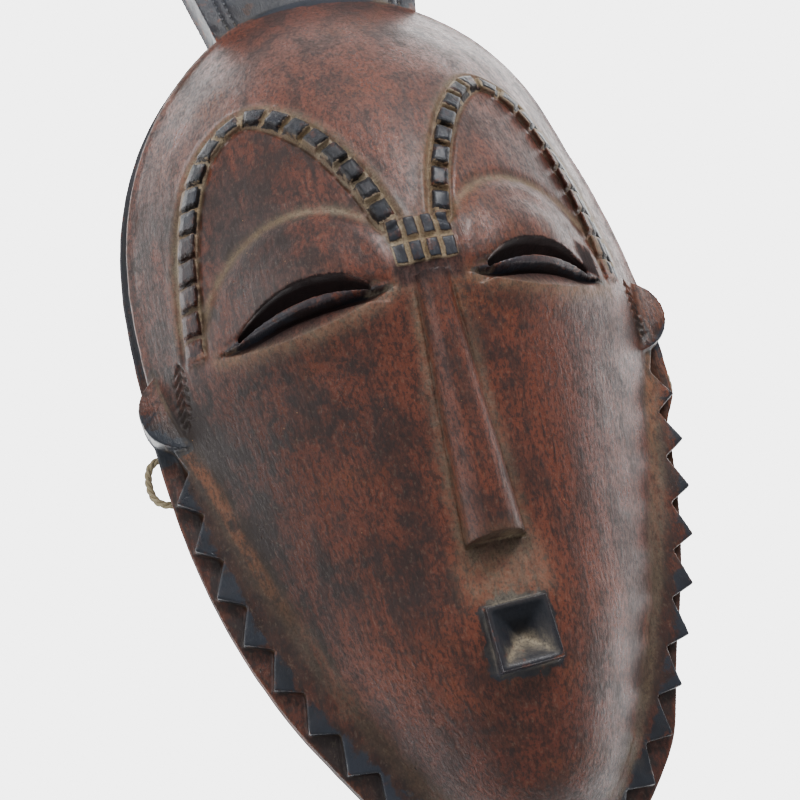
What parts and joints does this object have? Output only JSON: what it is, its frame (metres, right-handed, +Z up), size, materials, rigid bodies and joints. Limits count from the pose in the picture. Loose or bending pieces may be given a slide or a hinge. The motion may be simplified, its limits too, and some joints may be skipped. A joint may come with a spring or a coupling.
{
  "type": "carved wooden mask",
  "caption": "Carved wooden wall mask with an oval face, toothed beard border, round ears and a flat crest, hung by a twine cord.",
  "frame": {"origin": "in the plane of the flat back rim, on the centre line, level with the middle of the two pairs of cord holes", "axes": "+Z up the mask towards the crest, +X to the right of someone who faces the mask, +Y out of the back, so the face looks towards -Y"},
  "size_m": [0.1824, 0.0694, 0.356],
  "materials": {
    "carved_wood": "satin, dark stained, waxed, with blue-black paint on the raised blocks, teeth and crest",
    "twine": "matt twisted cotton"
  },
  "bodies": {
    "carving": {"mask": "carved_wood", "cord_tie_left": "twine", "cord_tie_right": "twine", "cord_knot_left": "twine", "cord_knot_right": "twine"},
    "cord": {"hanging_cord": "twine"}
  },
  "joints": [
    {"name": "cord_swing", "type": "hinge", "parent": "carving", "child": "cord", "pos_m": [0, -0.0045, 0], "axis": [1, 0, 0], "range_deg": [0, 180]}
  ]
}
